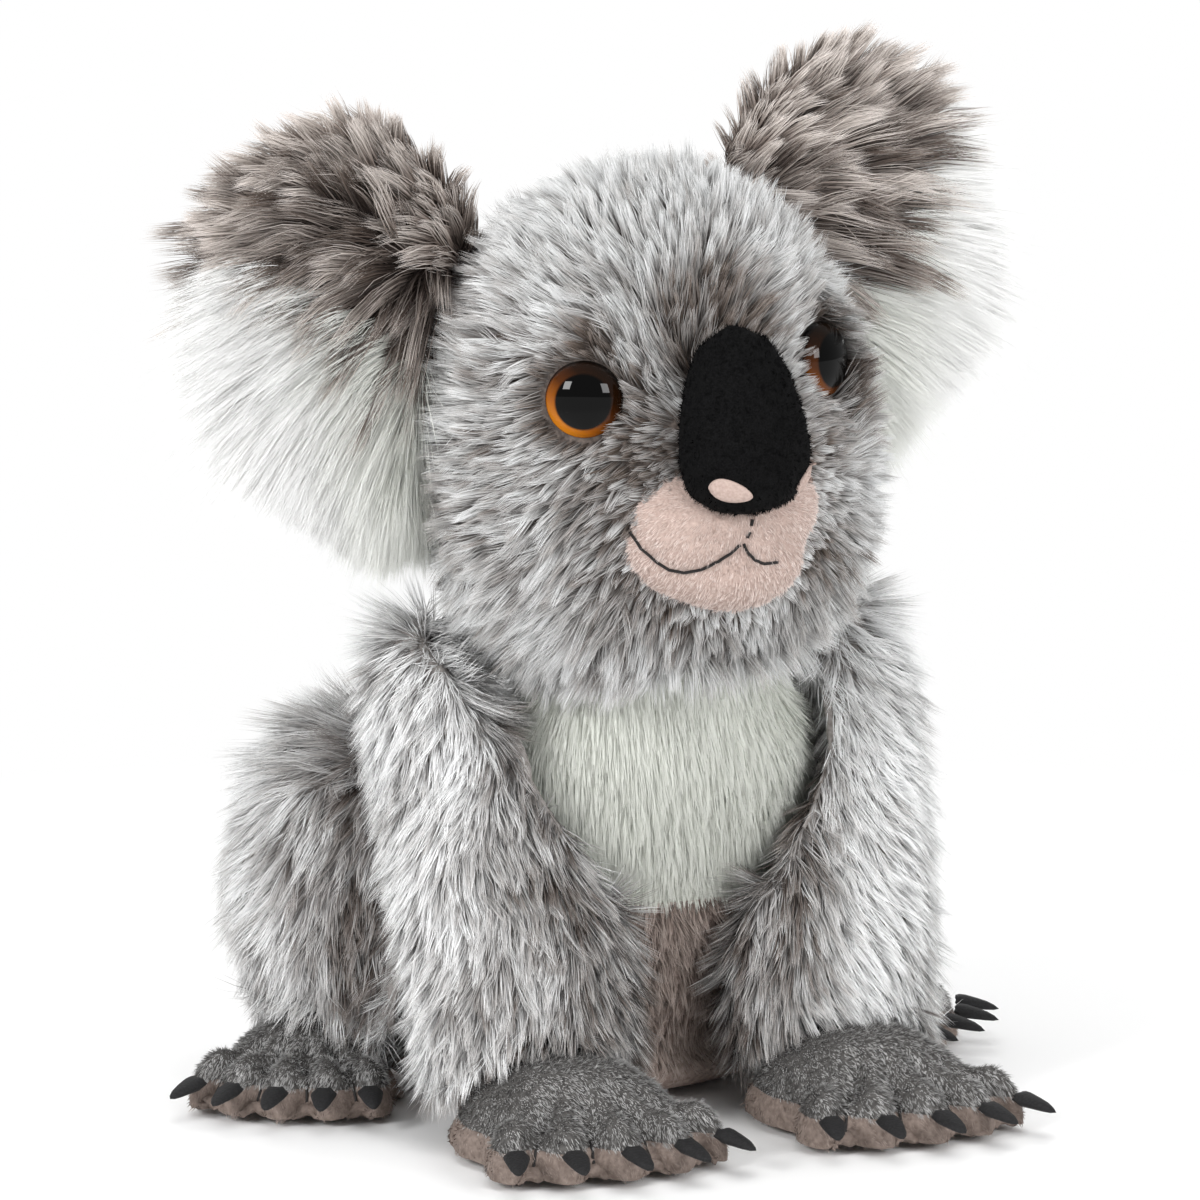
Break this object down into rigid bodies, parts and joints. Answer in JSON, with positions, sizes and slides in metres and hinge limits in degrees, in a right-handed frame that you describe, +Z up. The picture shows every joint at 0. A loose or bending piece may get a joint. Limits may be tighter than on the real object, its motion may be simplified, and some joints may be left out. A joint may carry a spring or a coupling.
{
  "type": "plush koala",
  "caption": "Seated stuffed koala with a large head, round fringed ears, stout limbs and clawed paws. Its head, ears, arms and legs give at their seams.",
  "frame": {"origin": "on the flat underside of the seat, midway between the right and left sides", "axes": "+Z up, the face looks along -Y, and the toy's own left side is at +X"},
  "size_m": [0.2036, 0.1542, 0.2286],
  "materials": {
    "grey_plush": "long frosted grey pile with pale tips",
    "white_plush": "long white pile",
    "brown_plush": "long brown-grey pile with pale tips",
    "beige_plush": "short pinkish-beige cloth",
    "paw_plush": "short dark grey pile",
    "muzzle_plush": "very short pinkish-beige pile",
    "fibre_filling": "loose fibre",
    "pellet_bag_cloth": "plain woven cloth",
    "nose_velour": "black velour",
    "embroidery_thread": "dark thread",
    "claw_felt": "stiff charcoal felt",
    "eye_plastic": "clear dome over an amber iris and a black pupil",
    "washer_plastic": "plain moulded"
  },
  "bodies": {
    "torso": {"seat_panel": "beige_plush", "back_panel": "grey_plush", "chest_bib": "white_plush", "belly_panel": "beige_plush", "torso_stuffing": "fibre_filling", "seat_bean_bag": "pellet_bag_cloth"},
    "neck": {"neck_lining": "white_plush"},
    "head": {"face_panel": "grey_plush", "head_back_panel": "brown_plush", "head_stuffing": "fibre_filling", "muzzle": "muzzle_plush", "nose": "nose_velour", "mouth_stitching": "embroidery_thread", "nostril_patch_right": "beige_plush", "eye_right": "eye_plastic", "eye_washer_right": "washer_plastic", "nostril_patch_left": "beige_plush", "eye_left": "eye_plastic", "eye_washer_left": "washer_plastic"},
    "ear_right": {"ear_front_right": "white_plush", "ear_back_right": "brown_plush"},
    "ear_left": {"ear_front_left": "white_plush", "ear_back_left": "brown_plush"},
    "arm_right": {"arm_skin_right": "grey_plush", "arm_stuffing_right": "fibre_filling", "front_paw_top_right": "paw_plush", "front_paw_sole_right": "beige_plush", "front_paw_claw_right_1": "claw_felt", "front_paw_claw_right_2": "claw_felt", "front_paw_claw_right_3": "claw_felt", "front_paw_claw_right_4": "claw_felt", "front_paw_claw_right_5": "claw_felt"},
    "arm_left": {"arm_skin_left": "grey_plush", "arm_stuffing_left": "fibre_filling", "front_paw_top_left": "paw_plush", "front_paw_sole_left": "beige_plush", "front_paw_claw_left_1": "claw_felt", "front_paw_claw_left_2": "claw_felt", "front_paw_claw_left_3": "claw_felt", "front_paw_claw_left_4": "claw_felt", "front_paw_claw_left_5": "claw_felt"},
    "leg_right": {"haunch_skin_right": "grey_plush", "haunch_stuffing_right": "fibre_filling", "hind_paw_top_right": "paw_plush", "hind_paw_sole_right": "beige_plush", "hind_paw_claw_right_1": "claw_felt", "hind_paw_claw_right_2": "claw_felt", "hind_paw_claw_right_3": "claw_felt", "hind_paw_claw_right_4": "claw_felt", "hind_paw_claw_right_5": "claw_felt"},
    "leg_left": {"haunch_skin_left": "grey_plush", "haunch_stuffing_left": "fibre_filling", "hind_paw_top_left": "paw_plush", "hind_paw_sole_left": "beige_plush", "hind_paw_claw_left_1": "claw_felt", "hind_paw_claw_left_2": "claw_felt", "hind_paw_claw_left_3": "claw_felt", "hind_paw_claw_left_4": "claw_felt", "hind_paw_claw_left_5": "claw_felt"}
  },
  "joints": [
    {"name": "neck_turn", "type": "hinge", "parent": "torso", "child": "neck", "pos_m": [0, -0.016, 0.1], "axis": [0, 0, 1], "range_deg": [-15, 15], "stiffness_Nm_per_rad": 1},
    {"name": "neck_nod", "type": "hinge", "parent": "neck", "child": "head", "pos_m": [0, -0.016, 0.1], "axis": [1, 0, 0], "range_deg": [-8, 8], "stiffness_Nm_per_rad": 2},
    {"name": "ear_right_fold", "type": "hinge", "parent": "head", "child": "ear_right", "pos_m": [-0.04841, -0.011, 0.16831], "axis": [-0.1045, 0, 0.9945], "range_deg": [-15, 15], "stiffness_Nm_per_rad": 0.15},
    {"name": "ear_left_fold", "type": "hinge", "parent": "head", "child": "ear_left", "pos_m": [0.03314, -0.011, 0.17689], "axis": [-0.1045, 0, 0.9945], "range_deg": [-15, 15], "stiffness_Nm_per_rad": 0.15},
    {"name": "shoulder_right", "type": "hinge", "parent": "torso", "child": "arm_right", "pos_m": [-0.044, -0.009, 0.088], "axis": [-1, 0, 0], "range_deg": [0, 20], "stiffness_Nm_per_rad": 0.6},
    {"name": "shoulder_left", "type": "hinge", "parent": "torso", "child": "arm_left", "pos_m": [0.044, -0.009, 0.088], "axis": [-1, 0, 0], "range_deg": [0, 20], "stiffness_Nm_per_rad": 0.6},
    {"name": "hip_right", "type": "hinge", "parent": "torso", "child": "leg_right", "pos_m": [-0.0495, 0.027, 0.044], "axis": [-1, 0, 0], "range_deg": [0, 10], "stiffness_Nm_per_rad": 0.8},
    {"name": "hip_left", "type": "hinge", "parent": "torso", "child": "leg_left", "pos_m": [0.0495, 0.027, 0.044], "axis": [-1, 0, 0], "range_deg": [0, 10], "stiffness_Nm_per_rad": 0.8}
  ]
}
